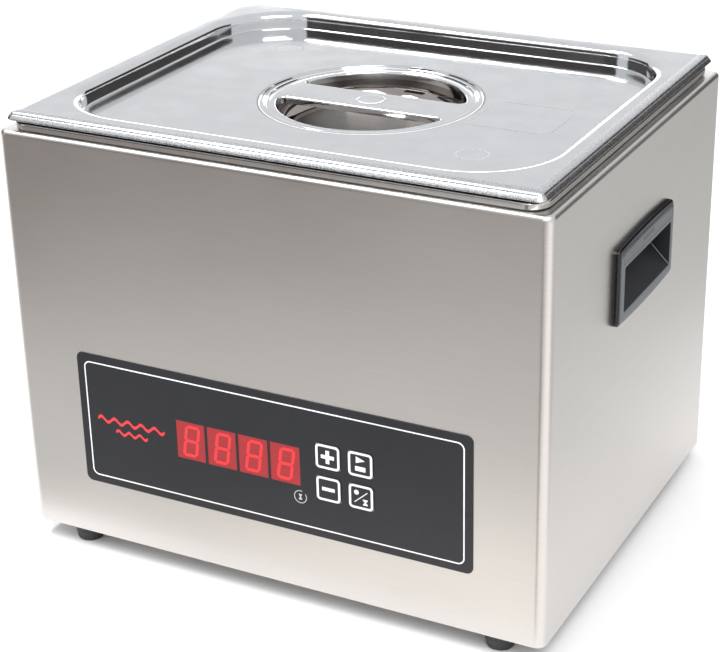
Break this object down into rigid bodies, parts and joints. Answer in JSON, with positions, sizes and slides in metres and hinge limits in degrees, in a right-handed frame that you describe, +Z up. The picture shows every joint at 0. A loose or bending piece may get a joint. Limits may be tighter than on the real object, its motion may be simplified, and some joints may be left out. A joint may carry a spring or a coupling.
{
  "type": "sous vide circulator",
  "caption": "Countertop stainless steel water bath with lift-off lid, circulating pump, front membrane panel with digital display and recessed side grips.",
  "frame": {"origin": "on the floor under the centre of the appliance's bounding box", "axes": "+Z up, +X to the user's right along the width, the control panel faces -Y"},
  "size_m": [0.343, 0.2732, 0.2726],
  "materials": {
    "brushed_steel": "brushed along the width",
    "lid_steel": "polished",
    "dish_steel": "polished wall, blasted floor",
    "polished_steel": "satin",
    "zinc_steel": "bright zinc",
    "aluminium_sheet": "mill",
    "core_steel": "varnished laminations",
    "magnet": "sintered, coated",
    "brass_screw": "plain",
    "foot_rubber": "matte",
    "silicone": "matte",
    "heater_silicone": "matte",
    "insulation": "fibre felt",
    "panel_film": "printed film",
    "key_film": "printed film",
    "red_window": "tinted, lit",
    "grip_plastic": "fine texture",
    "socket_plastic": "moulded",
    "rocker_plastic": "moulded",
    "pump_plastic": "moulded",
    "motor_paint": "satin",
    "board_plastic": "moulded",
    "module_plastic": "moulded",
    "relay_plastic": "moulded",
    "connector_plastic": "moulded",
    "circuit_board": "solder mask",
    "capacitor": "sleeved can",
    "ribbon": "flat cable",
    "coil_tape": "polyester tape"
  },
  "bodies": {
    "housing": {"housing_shell": "brushed_steel", "base_plate": "brushed_steel", "feet": "foot_rubber", "foot_screws": "zinc_steel", "foot_nuts": "zinc_steel", "earth_stud": "zinc_steel", "tank": "polished_steel", "tank_gasket": "silicone", "heater_mat": "heater_silicone", "heater_clamp": "aluminium_sheet", "insulation_wrap": "insulation", "temperature_probe": "polished_steel", "probe_nut": "zinc_steel", "overheat_cutout": "board_plastic", "impeller_spindle": "polished_steel", "pump_cage": "polished_steel", "pump_motor": "motor_paint", "motor_bracket": "zinc_steel", "motor_studs": "zinc_steel", "panel_film": "panel_film", "display_windows": "red_window", "digit_modules": "module_plastic", "push_switches": "board_plastic", "display_board": "circuit_board", "board_studs": "zinc_steel", "control_board": "circuit_board", "board_posts": "board_plastic", "board_capacitors": "capacitor", "board_relay": "relay_plastic", "board_connector": "connector_plastic", "ribbon_cable": "ribbon", "heat_sink": "aluminium_sheet", "power_relay": "relay_plastic", "transformer_core": "core_steel", "transformer_coil": "coil_tape", "terminal_block": "connector_plastic", "terminal_screws": "brass_screw", "mains_inlet": "socket_plastic", "inlet_pins": "zinc_steel", "inlet_screws": "zinc_steel", "fuse_holder": "socket_plastic", "fuse_cap": "socket_plastic", "switch_frame": "socket_plastic", "grip_right": "grip_plastic", "grip_left": "grip_plastic"},
    "key_plus": {"key_plus": "key_film"},
    "key_minus": {"key_minus": "key_film"},
    "key_start_stop": {"key_start_stop": "key_film"},
    "key_mode": {"key_mode": "key_film"},
    "lid": {"lid_pan": "lid_steel", "lid_grip_plate": "lid_steel", "lid_dish": "dish_steel"},
    "false_bottom": {"false_bottom": "polished_steel", "rack_legs": "polished_steel"},
    "pump_rotor": {"motor_shaft": "zinc_steel", "drive_magnet": "magnet"},
    "impeller": {"impeller": "pump_plastic", "driven_magnet": "magnet"},
    "rocker": {"rocker": "rocker_plastic"}
  },
  "joints": [
    {"name": "key_plus_press", "type": "slide", "parent": "housing", "child": "key_plus", "axis": [0, 1, 0], "range_m": [0, 0.0004], "stiffness_N_per_m": 300},
    {"name": "key_minus_press", "type": "slide", "parent": "housing", "child": "key_minus", "axis": [0, 1, 0], "range_m": [0, 0.0004], "stiffness_N_per_m": 300},
    {"name": "key_start_stop_press", "type": "slide", "parent": "housing", "child": "key_start_stop", "axis": [0, 1, 0], "range_m": [0, 0.0004], "stiffness_N_per_m": 300},
    {"name": "key_mode_press", "type": "slide", "parent": "housing", "child": "key_mode", "axis": [0, 1, 0], "range_m": [0, 0.0004], "stiffness_N_per_m": 300},
    {"name": "lid_lift", "type": "slide", "parent": "housing", "child": "lid", "axis": [0, 0, 1], "range_m": [0, 0.25]},
    {"name": "false_bottom_lift", "type": "slide", "parent": "housing", "child": "false_bottom", "axis": [0, 0, 1], "range_m": [0, 0.09]},
    {"name": "pump_rotor_spin", "type": "hinge", "parent": "housing", "child": "pump_rotor", "pos_m": [0, 0.065, 0.1], "axis": [0, 0, 1], "continuous": true},
    {"name": "impeller_spin", "type": "hinge", "parent": "housing", "child": "impeller", "pos_m": [0, 0.065, 0.125], "axis": [0, 0, 1], "continuous": true},
    {"name": "rocker_tilt", "type": "hinge", "parent": "housing", "child": "rocker", "pos_m": [-0.062, 0.1307, 0.052], "axis": [1, 0, 0], "range_deg": [0, 18]}
  ],
  "couplings": [
    {"joint": "impeller_spin", "follows": "pump_rotor_spin", "ratio": 1}
  ]
}
